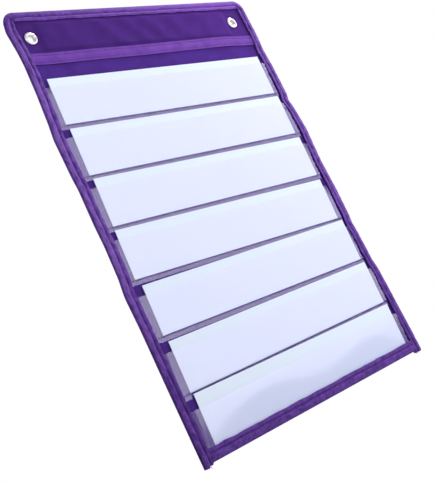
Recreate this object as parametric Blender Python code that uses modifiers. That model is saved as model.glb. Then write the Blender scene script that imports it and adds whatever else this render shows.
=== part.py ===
# Magnetic wall pocket organizer: a bound cloth panel with seven clear pockets for cards.
# Metres, +Z up, front towards -Y. The origin is on the panel's back, in the middle of the header,
# where the magnet strip presses the backing cloth to a steel board.
# A depth is a distance forward from that board, and a drop is one down from the top edge.

import math

import bmesh
import bpy
from mathutils import Matrix, Vector

MM = 0.001

# Cloth and the gap that neighbouring layers keep
PANEL_WIDTH = 330 * MM
CORNER_RADIUS = 13 * MM
BACKING_THICKNESS = 0.5 * MM
HEADER_THICKNESS = 0.4 * MM
LAYER_GAP = 0.3 * MM

# Binding tape, folded over the edge and sewn through
BINDING_WIDTH = 11.5 * MM
TAPE_THICKNESS = 0.5 * MM
STITCH_INSET = 7.3 * MM
PILLOW_RISE = 0.3 * MM
LIP_RISE = 0.15 * MM
GROOVE_DIP = 0.15 * MM
LEFT_TAB = 3.1 * MM
RIGHT_TAB = 1.8 * MM
THREAD_RADIUS = 0.25 * MM

# Header: ribbon, magnet sleeve and eyelets
RIBBON_DROP = 47.8 * MM
RIBBON_HEIGHT = 12.5 * MM
RIBBON_THICKNESS = 0.4 * MM
RIBBON_STITCH_INSET = 2.6 * MM
HEADER_TUCK = 2 * MM
MAGNET_THICKNESS = 1.5 * MM
MAGNET_EDGE_ROOM = 5.6 * MM
MAGNET_END_ROOM = 8 * MM
SLEEVE_CLEARANCE = 1 * MM
HEADER_RIPPLE = 0.4 * MM
EYELET_BORE_RADIUS = 3.5 * MM
EYELET_WALL = 0.5 * MM
EYELET_FLANGE_RADIUS = 7.3 * MM
EYELET_FLANGE_RISE = 1.2 * MM
EYELET_ROLL_RADIUS = 5.4 * MM
EYELET_ROLL_RISE = 0.6 * MM
EYELET_HOLE_CLEARANCE = 0.4 * MM
WASHER_RADIUS = 7 * MM
WASHER_THICKNESS = 0.5 * MM
LEFT_EYELET_INSET = 22.3 * MM
RIGHT_EYELET_INSET = 30.8 * MM
LEFT_EYELET_DROP = 31 * MM
RIGHT_EYELET_DROP = 29.3 * MM

# Pockets: a seam is the sewn line that a pocket's card stands on
POCKET_COUNT = 7
CARD_THICKNESS = 0.4 * MM
CARD_HEIGHT = 48.4 * MM
CARD_SEAT = 1.3 * MM
CARD_HEADROOM = 16.9 * MM
POCKET_GAP = 4.1 * MM
LAST_POCKET_GAP = 2.5 * MM
CARD_SHOWING = 9 * MM
LAST_CARD_SHOWING = 11.7 * MM
LAST_CARD_LIFT = 1.2 * MM
FILM_THICKNESS = 0.3 * MM
FILM_HEM = 3.8 * MM
FILM_SHOULDER = 4.5 * MM
FOLD_START = 0.3 * MM
CARD_SIDE_ROOM = 7.5 * MM
CARD_SIDE_CLEARANCE = 1.2 * MM
CARD_SLIDE_CLEARANCE = 0.6 * MM

# Hand sewing: how far edges wander sideways, seams run off level and cards stand off centre
EDGE_SWAY = 3.2 * MM
SEAM_SLANT = 2.2 * MM
CARD_SHIFT = 3.2 * MM
LEFT_SWAY_SHARES = [
    (0.02, 0.1), (0.048, -0.5), (0.1, 0.4), (0.13, 0.65), (0.2, 0.45), (0.27, -0.1), (0.305, -0.6),
    (0.39, -0.25), (0.42, 0.1), (0.5, 0.05), (0.55, 0.3), (0.62, 0.1), (0.655, -0.5), (0.72, -0.15),
    (0.85, 0), (1, 0.25),
]
RIGHT_SWAY_SHARES = [
    (0.03, -0.1), (0.11, 0), (0.15, -0.6), (0.2, -0.1), (0.286, -0.2), (0.3, -1), (0.33, 0),
    (0.395, 0.65), (0.43, 0.15), (0.48, -0.3), (0.56, -0.05), (0.63, -0.3), (0.655, -0.9),
    (0.68, -0.5), (0.76, -0.3), (0.79, 0.4), (0.93, 0.9), (1, 1),
]
TOP_SLANT_SHARE = -0.45
SEAM_SLANT_SHARES = [0.1, 0.05, 0.5, 1, 0.1, -0.4, 0]
CARD_SHIFT_SHARES = [-0.15, 0, 0.1, -0.6, 0.3, 0.7, 1]

# Fineness
ARC_STEPS = 6
SLEEVE_COLUMNS = 22
SHOULDER_STEPS = 3
EYELET_STEPS = 32
THREAD_RESOLUTION = 1
RIPPLE_COUNT = 3
CUT_OVERRUN = 5 * MM

# Finishes: colour, roughness, metallic, alpha
BACKING_FINISH = ((0.050, 0.020, 0.160), 0.85, 0, 1)
HEADER_FINISH = ((0.060, 0.025, 0.200), 0.75, 0, 1)
BINDING_FINISH = ((0.140, 0.060, 0.330), 0.7, 0, 1)
RIBBON_FINISH = ((0.180, 0.075, 0.420), 0.6, 0, 1)
THREAD_FINISH = ((0.090, 0.035, 0.240), 0.7, 0, 1)
FILM_FINISH = ((0.780, 0.740, 0.860), 0.15, 0, 0.35)
CARD_FINISH = ((0.820, 0.860, 0.950), 0.55, 0, 1)
NICKEL_FINISH = ((0.800, 0.800, 0.780), 0.25, 1, 1)
MAGNET_FINISH = ((0.020, 0.020, 0.022), 0.6, 0, 1)

# Worked out from the sizes above
CARD_REACH = CARD_SEAT + CARD_HEIGHT
FIRST_SEAM_DROP = RIBBON_DROP + RIBBON_HEIGHT + CARD_HEADROOM + CARD_REACH
POCKET_PITCH = CARD_REACH + POCKET_GAP
SEAM_DROPS = [FIRST_SEAM_DROP + POCKET_PITCH * index for index in range(POCKET_COUNT - 1)]
SEAM_DROPS.append(SEAM_DROPS[-1] + CARD_REACH + LAST_POCKET_GAP)
FILM_HEIGHTS = [CARD_REACH - CARD_SHOWING] * (POCKET_COUNT - 1) + [CARD_REACH - LAST_CARD_SHOWING]
PANEL_HEIGHT = SEAM_DROPS[-1] + STITCH_INSET
HALF_WIDTH = PANEL_WIDTH / 2
HEADER_DROP = (BINDING_WIDTH + RIBBON_DROP) / 2
CARD_WIDTH = PANEL_WIDTH - 2 * (BINDING_WIDTH + CARD_SIDE_ROOM)
CARD_LEAN = math.atan2(
    CARD_THICKNESS + FILM_THICKNESS + 2 * LAYER_GAP + CARD_SLIDE_CLEARANCE, POCKET_PITCH)

BACKING_DEPTH = TAPE_THICKNESS + LAYER_GAP
SEWN_DEPTH = BACKING_DEPTH + BACKING_THICKNESS + LAYER_GAP
HEADER_FRONT = SEWN_DEPTH + HEADER_THICKNESS
RIBBON_DEPTH = HEADER_FRONT + LAYER_GAP
RIBBON_FRONT = RIBBON_DEPTH + RIBBON_THICKNESS
FILM_OVER_CARD = CARD_THICKNESS + LAYER_GAP
POCKET_FRONT = (SEWN_DEPTH + FILM_OVER_CARD + FILM_THICKNESS
                + (BINDING_WIDTH - STITCH_INSET) * math.tan(CARD_LEAN))
FOLD_FRONT = max(RIBBON_FRONT, POCKET_FRONT) + LAYER_GAP
TAPE_FRONT = FOLD_FRONT + TAPE_THICKNESS
FOLD_RADIUS = TAPE_FRONT / 2
EDGE_INSET = FOLD_RADIUS + LAYER_GAP
SHEET_TUCK = (STITCH_INSET + EDGE_INSET) / 2
MAGNET_LEFT = -HALF_WIDTH + LEFT_EYELET_INSET + EYELET_FLANGE_RADIUS + MAGNET_END_ROOM
MAGNET_RIGHT = HALF_WIDTH - RIGHT_EYELET_INSET - EYELET_FLANGE_RADIUS - MAGNET_END_ROOM
MAGNET_TOP_DROP = BINDING_WIDTH + MAGNET_EDGE_ROOM
MAGNET_BOTTOM_DROP = RIBBON_DROP - MAGNET_EDGE_ROOM
MAGNET_DEPTH = BACKING_THICKNESS + LAYER_GAP
SLEEVE_LEFT = MAGNET_LEFT - SLEEVE_CLEARANCE
SLEEVE_RIGHT = MAGNET_RIGHT + SLEEVE_CLEARANCE
SLEEVE_TOP_DROP = MAGNET_TOP_DROP - SLEEVE_CLEARANCE
SLEEVE_BOTTOM_DROP = MAGNET_BOTTOM_DROP + SLEEVE_CLEARANCE
SLEEVE_END_REACH = MAGNET_END_ROOM - SLEEVE_CLEARANCE
SLEEVE_EDGE_REACH = MAGNET_EDGE_ROOM - SLEEVE_CLEARANCE
EYELET_BARREL_RADIUS = EYELET_BORE_RADIUS + EYELET_WALL
CLOTH_HOLE_RADIUS = EYELET_BARREL_RADIUS + EYELET_HOLE_CLEARANCE


def clamp(value):
    return min(max(value, 0), 1)


def smooth(value):
    share = clamp(value)
    return share * share * (3 - 2 * share)


def interpolate(table, place):
    if place <= table[0][0]:
        return table[0][1]
    for (low, first), (high, second) in zip(table, table[1:]):
        if place <= high:
            return first + (second - first) * (place - low) / (high - low)
    return table[-1][1]


def slant_table():
    # Level steps over each sewn strip, with the turns in the bare cloth between strips.
    table = [(0, TOP_SLANT_SHARE), (RIBBON_DROP, 0)]
    for seam, height, share in zip(SEAM_DROPS, FILM_HEIGHTS, SEAM_SLANT_SHARES):
        table.append((seam - height, share))
        table.append((seam + FILM_HEM, share))
    return table


SLANT_TABLE = slant_table()


def draped(x, drop):
    # Where the sewing puts a point of the level, straight-edged panel: its x and z.
    height_share = drop / PANEL_HEIGHT
    left = interpolate(LEFT_SWAY_SHARES, height_share)
    right = interpolate(RIGHT_SWAY_SHARES, height_share)
    left_weight = clamp((-x - CARD_WIDTH / 2) / CARD_SIDE_ROOM)
    right_weight = clamp((x - CARD_WIDTH / 2) / CARD_SIDE_ROOM)
    sideways = EDGE_SWAY * (left * left_weight + right * right_weight)
    down = SEAM_SLANT * interpolate(SLANT_TABLE, drop) * x / HALF_WIDTH
    return x + sideways, HEADER_DROP - drop - down


def place(x, depth, drop):
    x_there, z_there = draped(x, drop)
    return Vector((x_there, -depth, z_there))


def side_drops(low_drop, high_drop):
    # The drops where a side edge bends, between two limits.
    bends = [share * PANEL_HEIGHT for share, _ in LEFT_SWAY_SHARES + RIGHT_SWAY_SHARES]
    bends += [drop for drop, _ in SLANT_TABLE]
    inside = [drop for drop in bends if low_drop < drop < high_drop]
    return sorted(set([low_drop, high_drop] + inside))


def corner_arc(inset, side):
    # Points round a top corner, from the side to the top edge: side is -1 left, 1 right.
    radius = CORNER_RADIUS - inset
    centre = HALF_WIDTH - CORNER_RADIUS
    angles = [math.pi / 2 * step / ARC_STEPS for step in range(ARC_STEPS + 1)]
    return [
        (side * (centre + radius * math.cos(angle)), CORNER_RADIUS - radius * math.sin(angle))
        for angle in angles
    ]


def edge_path(inset, left_end_drop, right_end_drop):
    # Up the left side, round the top and down the right side, as x and drop.
    left_x = -HALF_WIDTH + inset
    left = [(left_x, drop) for drop in side_drops(CORNER_RADIUS, left_end_drop)[:0:-1]]
    right = [(-left_x, drop) for drop in side_drops(CORNER_RADIUS, right_end_drop)[1:]]
    return left + corner_arc(inset, -1) + corner_arc(inset, 1)[::-1] + right


def make_finish(name, finish):
    colour, roughness, metallic, alpha = finish
    material = bpy.data.materials.new(name)
    material.use_nodes = True
    shader = material.node_tree.nodes["Principled BSDF"]
    shader.inputs["Base Color"].default_value = (*colour, 1)
    shader.inputs["Roughness"].default_value = roughness
    shader.inputs["Metallic"].default_value = metallic
    shader.inputs["Alpha"].default_value = alpha
    return material


def add_object(name, data, collection):
    piece = bpy.data.objects.new(name, data)
    collection.objects.link(piece)
    return piece


def finish_piece(piece, finish):
    piece.data.materials.clear()
    piece.data.materials.append(make_finish(f"{piece.name}_finish", finish))
    return piece


def flat_curve(name, loops, collection):
    # A flat outline in the curve's own XY plane, from closed loops of points.
    curve = bpy.data.curves.new(name, "CURVE")
    curve.dimensions = "2D"
    curve.fill_mode = "BOTH"
    for loop in loops:
        spline = curve.splines.new("POLY")
        spline.points.add(len(loop) - 1)
        spline.use_cyclic_u = True
        for point, (x, y) in zip(spline.points, loop):
            point.co = (x, y, 0, 1)
    return add_object(name, curve, collection)


def curve_as_mesh(piece, collection):
    # The evaluated curve as a welded mesh object that takes its name and place.
    bpy.context.view_layer.update()
    graph = bpy.context.evaluated_depsgraph_get()
    mesh = bpy.data.meshes.new_from_object(piece.evaluated_get(graph))
    name = piece.name
    matrix = piece.matrix_world.copy()
    bpy.data.objects.remove(piece)
    shape = bmesh.new()
    shape.from_mesh(mesh)
    bmesh.ops.remove_doubles(shape, verts=shape.verts, dist=LAYER_GAP / 100)
    bmesh.ops.recalc_face_normals(shape, faces=shape.faces)
    shape.to_mesh(mesh)
    shape.free()
    result = add_object(name, mesh, collection)
    result.matrix_world = matrix
    return result


def outline_solid(name, loops, back, front, collection):
    # A plate with its outline in x and z, between two depths.
    outline = flat_curve(name, loops, collection)
    outline.data.extrude = (front - back) / 2
    outline.location.y = -(back + front) / 2
    outline.rotation_euler.x = math.pi / 2
    return curve_as_mesh(outline, collection)


def circle_points(centre, radius, count):
    turns = [2 * math.pi * step / count for step in range(count)]
    return [(centre.x + radius * math.cos(a), centre.z + radius * math.sin(a)) for a in turns]


def cloth_outline(inset, low_drop):
    # The bound outline, drawn in from the binding's edge, cut off level at a drop.
    return [draped(x, drop) for x, drop in edge_path(inset, low_drop, low_drop)]


def add_cutter_boolean(piece, cutter, operation):
    cutter.hide_render = True
    cutter.display_type = "WIRE"
    modifier = piece.modifiers.new(f"{operation.lower()} {cutter.name}", "BOOLEAN")
    modifier.operation = operation
    modifier.solver = "EXACT"
    modifier.object = cutter


def grid_sheet(name, columns, drops, thickness, depth_at, collection):
    # A draped sheet through a grid of x places and drops; depth_at gives its middle depth.
    last_column = len(columns) - 1
    last_row = len(drops) - 1
    shape = bmesh.new()
    bmesh.ops.create_grid(shape, x_segments=last_column, y_segments=last_row, size=1)
    for vertex in shape.verts:
        column = round((vertex.co.x + 1) / 2 * last_column)
        row = round((vertex.co.y + 1) / 2 * last_row)
        x = columns[column]
        drop = drops[row]
        vertex.co = place(x, depth_at(x, drop), drop)
    mesh = bpy.data.meshes.new(name)
    shape.to_mesh(mesh)
    shape.free()
    sheet = add_object(name, mesh, collection)
    solid = sheet.modifiers.new("thickness", "SOLIDIFY")
    solid.thickness = thickness
    solid.offset = 0
    return sheet


def spread(low, high, count):
    return [low + (high - low) * step / count for step in range(count + 1)]


def eyelet_centre(side):
    inset, drop = LEFT_EYELET_INSET, LEFT_EYELET_DROP
    if side > 0:
        inset, drop = RIGHT_EYELET_INSET, RIGHT_EYELET_DROP
    return place(side * (HALF_WIDTH - inset), 0, drop)


def make_hole_cutters(cutters):
    holes = []
    for side, label in ((-1, "left"), (1, "right")):
        circle = circle_points(eyelet_centre(side), CLOTH_HOLE_RADIUS, EYELET_STEPS)
        name = f"eyelet_hole_{label}"
        holes.append(outline_solid(name, [circle], -CUT_OVERRUN, 2 * CUT_OVERRUN, cutters))
    return holes


def trim_cloth(sheet, low_drop, holes, cutters):
    # Cuts an oversize sheet to the bound outline, down to a drop, and punches the eyelet holes.
    outline = cloth_outline(EDGE_INSET, low_drop)
    name = f"{sheet.name}_outline"
    trim = outline_solid(name, [outline], -CUT_OVERRUN, 2 * CUT_OVERRUN, cutters)
    add_cutter_boolean(sheet, trim, "INTERSECT")
    for hole in holes:
        add_cutter_boolean(sheet, hole, "DIFFERENCE")


def sleeve_share(x, drop):
    # How far the two cloths part for the magnet strip: 1 over it, easing to 0 round it.
    past_end = max(SLEEVE_LEFT - x, x - SLEEVE_RIGHT) / SLEEVE_END_REACH
    past_edge = max(SLEEVE_TOP_DROP - drop, drop - SLEEVE_BOTTOM_DROP) / SLEEVE_EDGE_REACH
    return smooth(1 - past_end) * smooth(1 - past_edge)


def backing_depth(x, drop):
    # The backing lies on the folded tape at the edges, and on the board behind the magnet strip.
    return BACKING_DEPTH * (1 - sleeve_share(x, drop)) + BACKING_THICKNESS / 2


def header_depth(x, drop):
    # The header cloth lies on the backing and lifts over the magnet strip, with soft ripples.
    along = (x - MAGNET_LEFT) / (MAGNET_RIGHT - MAGNET_LEFT)
    ripple = HEADER_RIPPLE * (1 - math.cos(2 * math.pi * RIPPLE_COUNT * along)) / 2
    over_magnet = MAGNET_DEPTH + MAGNET_THICKNESS + LAYER_GAP + ripple
    lift = (over_magnet - SEWN_DEPTH) * sleeve_share(x, drop)
    return SEWN_DEPTH + HEADER_THICKNESS / 2 + lift


def sleeve_columns(steps):
    # Places across the panel where a cloth bends over the sleeve, in even steps along it.
    reach = HALF_WIDTH + CUT_OVERRUN
    columns = [-reach] + spread(SLEEVE_LEFT - SLEEVE_END_REACH, SLEEVE_LEFT, SHOULDER_STEPS)
    columns += spread(SLEEVE_LEFT, SLEEVE_RIGHT, steps)[1:]
    return columns + spread(SLEEVE_RIGHT, SLEEVE_RIGHT + SLEEVE_END_REACH, SHOULDER_STEPS)[1:] + [reach]


def sleeve_drops(low_drop):
    # Places down the panel where a cloth bends over the sleeve, from above its top edge.
    drops = spread(SLEEVE_TOP_DROP - SLEEVE_EDGE_REACH, SLEEVE_TOP_DROP, SHOULDER_STEPS)
    drops += spread(SLEEVE_BOTTOM_DROP, SLEEVE_BOTTOM_DROP + SLEEVE_EDGE_REACH, SHOULDER_STEPS)
    return [-CUT_OVERRUN] + drops + [low_drop + CUT_OVERRUN]


def make_back_panel(parts, holes, cutters):
    low_drop = PANEL_HEIGHT - EDGE_INSET
    panel = grid_sheet(
        "back_panel", sleeve_columns(1), sleeve_drops(low_drop), BACKING_THICKNESS, backing_depth, parts)
    trim_cloth(panel, low_drop, holes, cutters)
    return finish_piece(panel, BACKING_FINISH)


def make_header_panel(parts, holes, cutters):
    low_drop = RIBBON_DROP + RIBBON_HEIGHT - HEADER_TUCK
    columns = sleeve_columns(SLEEVE_COLUMNS)
    panel = grid_sheet(
        "header_panel", columns, sleeve_drops(low_drop), HEADER_THICKNESS, header_depth, parts)
    trim_cloth(panel, low_drop, holes, cutters)
    return finish_piece(panel, HEADER_FINISH)


def make_magnet_strip(parts):
    corners = [
        (MAGNET_LEFT, MAGNET_BOTTOM_DROP), (MAGNET_LEFT, MAGNET_TOP_DROP),
        (MAGNET_RIGHT, MAGNET_TOP_DROP), (MAGNET_RIGHT, MAGNET_BOTTOM_DROP),
    ]
    outline = [(x, HEADER_DROP - drop) for x, drop in corners]
    front = MAGNET_DEPTH + MAGNET_THICKNESS
    strip = outline_solid("magnet_strip", [outline], MAGNET_DEPTH, front, parts)
    return finish_piece(strip, MAGNET_FINISH)


def make_ribbon(parts):
    reach = HALF_WIDTH - SHEET_TUCK
    drops = side_drops(RIBBON_DROP, RIBBON_DROP + RIBBON_HEIGHT)
    depth = RIBBON_DEPTH + RIBBON_THICKNESS / 2
    columns = [-reach, -CARD_WIDTH / 2, CARD_WIDTH / 2, reach]
    ribbon = grid_sheet(
        "header_ribbon", columns, drops, RIBBON_THICKNESS, lambda x, drop: depth, parts)
    return finish_piece(ribbon, RIBBON_FINISH)


def fold_arc(radius, start, end):
    # An arc of the fold's section about its middle, as inset and depth.
    angles = spread(start, end, ARC_STEPS)
    return [(FOLD_RADIUS + radius * math.cos(a), FOLD_RADIUS + radius * math.sin(a)) for a in angles]


def swell(low, high, rise):
    # A low sine crest on the tape's front between two insets, ends left out.
    insets = spread(low, high, ARC_STEPS // 2 + 1)[1:-1]
    return [
        (inset, TAPE_FRONT + rise * math.sin(math.pi * (inset - low) / (high - low)))
        for inset in insets
    ]


def tape_profile():
    # The folded tape's section, as inset from the outer edge and depth, round from the back lip.
    quarter = math.pi / 2
    inner_radius = FOLD_RADIUS - TAPE_THICKNESS
    section = [(BINDING_WIDTH, TAPE_THICKNESS)]
    section += fold_arc(inner_radius, 3 * quarter, quarter)
    section += [(BINDING_WIDTH, FOLD_FRONT), (BINDING_WIDTH, TAPE_FRONT)]
    section += swell(STITCH_INSET, BINDING_WIDTH, LIP_RISE)[::-1]
    section += [(STITCH_INSET, TAPE_FRONT - GROOVE_DIP)]
    section += swell(FOLD_RADIUS, STITCH_INSET, PILLOW_RISE)[::-1]
    section += fold_arc(FOLD_RADIUS, quarter, 3 * quarter)
    return section + [(BINDING_WIDTH, 0)]


def open_path(name, points, collection):
    # An unbent path in the panel's plane, drawn as x and minus drop in the curve's own XY plane.
    curve = bpy.data.curves.new(name, "CURVE")
    curve.dimensions = "2D"
    curve.use_fill_caps = True
    spline = curve.splines.new("POLY")
    spline.points.add(len(points) - 1)
    for point, (x, drop) in zip(spline.points, points):
        point.co = (x, -drop, 0, 1)
    return add_object(name, curve, collection)


def drape_swept(piece):
    # Moves a swept mesh from its path's plane (x, minus drop, depth) to its place on the panel.
    for vertex in piece.data.vertices:
        x, minus_drop, depth = vertex.co
        vertex.co = place(x, depth, -minus_drop)
    shape = bmesh.new()
    shape.from_mesh(piece.data)
    bmesh.ops.recalc_face_normals(shape, faces=shape.faces)
    shape.to_mesh(piece.data)
    shape.free()
    return piece


def sweep_tape(name, points, parts, cutters):
    section = flat_curve(f"{name}_section", [tape_profile()], cutters)
    section.hide_render = True
    section.display_type = "WIRE"
    path = open_path(name, points, parts)
    path.data.bevel_mode = "OBJECT"
    path.data.bevel_object = section
    swept = drape_swept(curve_as_mesh(path, parts))
    bpy.data.objects.remove(section)
    return swept


def make_edge_binding(parts, cutters):
    path = edge_path(0, PANEL_HEIGHT + LEFT_TAB, PANEL_HEIGHT + RIGHT_TAB)
    return finish_piece(sweep_tape("edge_binding", path, parts, cutters), BINDING_FINISH)


def bottom_reach():
    return HALF_WIDTH - BINDING_WIDTH - LAYER_GAP


def make_bottom_binding(parts, cutters):
    reach = bottom_reach()
    path = [(reach, PANEL_HEIGHT), (-reach, PANEL_HEIGHT)]
    return finish_piece(sweep_tape("bottom_binding", path, parts, cutters), BINDING_FINISH)


def make_thread(name, points, depth, parts):
    path = open_path(name, points, parts)
    path.data.dimensions = "3D"
    path.data.fill_mode = "FULL"
    path.data.bevel_depth = THREAD_RADIUS
    path.data.bevel_resolution = THREAD_RESOLUTION
    thread = curve_as_mesh(path, parts)
    for vertex in thread.data.vertices:
        vertex.co.z += depth + LAYER_GAP + THREAD_RADIUS
    return finish_piece(drape_swept(thread), THREAD_FINISH)


def make_threads(parts):
    groove_front = TAPE_FRONT - GROOVE_DIP
    path = edge_path(STITCH_INSET, PANEL_HEIGHT + LEFT_TAB, PANEL_HEIGHT + RIGHT_TAB)
    make_thread("edge_binding_thread", path, groove_front, parts)
    reach = bottom_reach()
    bottom_drop = PANEL_HEIGHT - STITCH_INSET
    make_thread("bottom_binding_thread", [(-reach, bottom_drop), (reach, bottom_drop)], groove_front, parts)
    for label, drop in (
            ("upper", RIBBON_DROP + RIBBON_STITCH_INSET),
            ("lower", RIBBON_DROP + RIBBON_HEIGHT - RIBBON_STITCH_INSET)):
        make_thread(f"ribbon_thread_{label}", [(-reach, drop), (reach, drop)], RIBBON_FRONT, parts)
    film_reach = HALF_WIDTH - SHEET_TUCK
    columns = [-film_reach, -CARD_WIDTH / 2, CARD_WIDTH / 2, film_reach]
    for number, seam in enumerate(SEAM_DROPS[:-1], start=1):
        points = [(x, seam) for x in columns]
        make_thread(f"pocket_thread_{number}", points, SEWN_DEPTH + FILM_THICKNESS, parts)


def card_shift(index):
    return CARD_SHIFT * CARD_SHIFT_SHARES[index % len(CARD_SHIFT_SHARES)]


def film_depth(x, drop, seam, shift):
    # The film lies on the backing at its hem and sides, and stands off in front of the card.
    height = seam - drop
    past_card = abs(x - shift) - CARD_WIDTH / 2 - CARD_SIDE_CLEARANCE
    cover = smooth(1 - past_card / FILM_SHOULDER)
    folded = smooth((height - FOLD_START) / (CARD_SEAT - FOLD_START))
    leaning = max(height - CARD_SEAT, 0) * math.tan(CARD_LEAN)
    return SEWN_DEPTH + FILM_THICKNESS / 2 + cover * (FILM_OVER_CARD * folded + leaning)


def make_pocket_film(index, parts):
    seam = SEAM_DROPS[index]
    shift = card_shift(index)
    inner = CARD_WIDTH / 2 + CARD_SIDE_CLEARANCE
    outer = inner + FILM_SHOULDER
    reach = HALF_WIDTH - SHEET_TUCK
    columns = [-reach] + spread(shift - outer, shift - inner, SHOULDER_STEPS)
    columns += spread(shift + inner, shift + outer, SHOULDER_STEPS) + [reach]
    fold_rows = spread(seam - FOLD_START, seam - CARD_SEAT, 2)
    drops = [seam + FILM_HEM, seam] + fold_rows + spread(seam - CARD_SEAT, seam - FILM_HEIGHTS[index], 2)[1:]
    film = grid_sheet(
        f"pocket_film_{index + 1}", columns, drops, FILM_THICKNESS,
        lambda x, drop: film_depth(x, drop, seam, shift), parts)
    return finish_piece(film, FILM_FINISH)


def make_card(index, parts):
    # The card's origin is at the middle of the bottom edge of its back face, on its slide.
    # The last card stands a little higher, on the stitches of the bottom binding.
    bpy.ops.mesh.primitive_cube_add(size=1)
    card = bpy.context.object
    card.name = f"card_{index + 1}"
    card.data.name = card.name
    size = Matrix.Diagonal((CARD_WIDTH, CARD_THICKNESS, CARD_HEIGHT, 1))
    card.data.transform(Matrix.Translation((0, -CARD_THICKNESS / 2, CARD_HEIGHT / 2)) @ size)
    for collection in card.users_collection:
        collection.objects.unlink(card)
    parts.objects.link(card)
    slant_share = SEAM_SLANT_SHARES[index % len(SEAM_SLANT_SHARES)]
    slant = math.atan2(SEAM_SLANT * slant_share, HALF_WIDTH)
    lift = LAST_CARD_LIFT if index == POCKET_COUNT - 1 else 0
    seat = place(card_shift(index), SEWN_DEPTH, SEAM_DROPS[index] - CARD_SEAT - lift)
    turned = Matrix.Rotation(CARD_LEAN, 4, "X") @ Matrix.Rotation(slant, 4, "Y")
    card.matrix_world = Matrix.Translation(seat) @ turned
    return finish_piece(card, CARD_FINISH)


def half_ellipse(inner, outer, base, rise, steps):
    # From the outer foot over the crown to the inner foot, as radius and depth.
    middle = (inner + outer) / 2
    half = (outer - inner) / 2
    angles = spread(0, math.pi, steps)
    return [(middle + half * math.cos(a), base + rise * math.sin(a)) for a in angles]


def turned_ring(name, profile, centre, parts):
    # A closed profile of radius and depth, turned about an axis along the panel's depth.
    count = len(profile)
    mesh = bpy.data.meshes.new(name)
    points = [(radius, 0, depth) for radius, depth in profile]
    mesh.from_pydata(points, [(k, (k + 1) % count) for k in range(count)], [])
    ring = add_object(name, mesh, parts)
    ring.location = centre
    ring.rotation_euler.x = math.pi / 2
    screw = ring.modifiers.new("turn", "SCREW")
    screw.steps = EYELET_STEPS
    screw.render_steps = EYELET_STEPS
    screw.use_merge_vertices = True
    screw.merge_threshold = LAYER_GAP / 100
    screw.use_smooth_shade = True
    return finish_piece(ring, NICKEL_FINISH)


def make_eyelet(side, label, parts):
    flange_depth = HEADER_FRONT + LAYER_GAP
    washer_front = BACKING_DEPTH - LAYER_GAP
    washer_back = washer_front - WASHER_THICKNESS
    roll_depth = washer_back - LAYER_GAP
    crown = half_ellipse(
        EYELET_BORE_RADIUS, EYELET_FLANGE_RADIUS, flange_depth, EYELET_FLANGE_RISE, ARC_STEPS)
    roll = half_ellipse(
        EYELET_BORE_RADIUS, EYELET_ROLL_RADIUS, roll_depth, -EYELET_ROLL_RISE, ARC_STEPS)
    barrel = [(EYELET_BARREL_RADIUS, flange_depth), (EYELET_BARREL_RADIUS, roll_depth)]
    profile = crown[::-1] + barrel + roll
    centre = eyelet_centre(side)
    turned_ring(f"eyelet_{label}", profile, centre, parts)
    inner = EYELET_BARREL_RADIUS + EYELET_HOLE_CLEARANCE
    washer = [
        (WASHER_RADIUS, washer_front), (WASHER_RADIUS, washer_back),
        (inner, washer_back), (inner, washer_front),
    ]
    turned_ring(f"eyelet_washer_{label}", washer, centre, parts)


def build():
    for leftover in list(bpy.data.objects):
        bpy.data.objects.remove(leftover)
    parts = bpy.data.collections.new("magnetic_wall_pocket_organizer")
    cutters = bpy.data.collections.new("cutters")
    for collection in (parts, cutters):
        bpy.context.scene.collection.children.link(collection)
    holes = make_hole_cutters(cutters)
    make_back_panel(parts, holes, cutters)
    make_header_panel(parts, holes, cutters)
    make_magnet_strip(parts)
    make_ribbon(parts)
    for index in range(POCKET_COUNT):
        make_pocket_film(index, parts)
        make_card(index, parts)
    make_edge_binding(parts, cutters)
    make_bottom_binding(parts, cutters)
    make_threads(parts)
    for side, label in ((-1, "left"), (1, "right")):
        make_eyelet(side, label, parts)


build()
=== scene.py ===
# Looks of the magnetic wall pocket organizer: sewn cloth, folded tape, clear vinyl pockets and cards.
# The pieces' sizes are millimetres; camera, lamps and floor are placed in metres. A drop is
# measured down from the top edge, a depth forward from the board that the organizer hangs on.
import math
from collections import namedtuple

import bmesh
import bpy
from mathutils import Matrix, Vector, noise


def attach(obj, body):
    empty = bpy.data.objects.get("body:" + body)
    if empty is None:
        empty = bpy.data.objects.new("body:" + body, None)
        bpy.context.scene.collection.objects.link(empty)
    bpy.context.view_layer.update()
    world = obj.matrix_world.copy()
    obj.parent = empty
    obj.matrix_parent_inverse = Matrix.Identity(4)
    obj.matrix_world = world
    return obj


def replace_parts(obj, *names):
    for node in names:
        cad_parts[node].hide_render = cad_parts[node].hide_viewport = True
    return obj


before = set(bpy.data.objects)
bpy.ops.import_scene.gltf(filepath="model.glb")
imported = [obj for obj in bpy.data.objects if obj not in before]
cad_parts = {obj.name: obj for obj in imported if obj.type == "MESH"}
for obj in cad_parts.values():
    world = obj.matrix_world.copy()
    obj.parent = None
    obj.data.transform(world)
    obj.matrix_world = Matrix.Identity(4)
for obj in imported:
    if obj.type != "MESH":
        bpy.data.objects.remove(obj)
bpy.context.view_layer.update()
mm = 0.001
noiseSpan = 1.6
scene = bpy.context.scene
workshop = bpy.data.collections.new("organizerPieces")
scene.collection.children.link(workshop)

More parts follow.
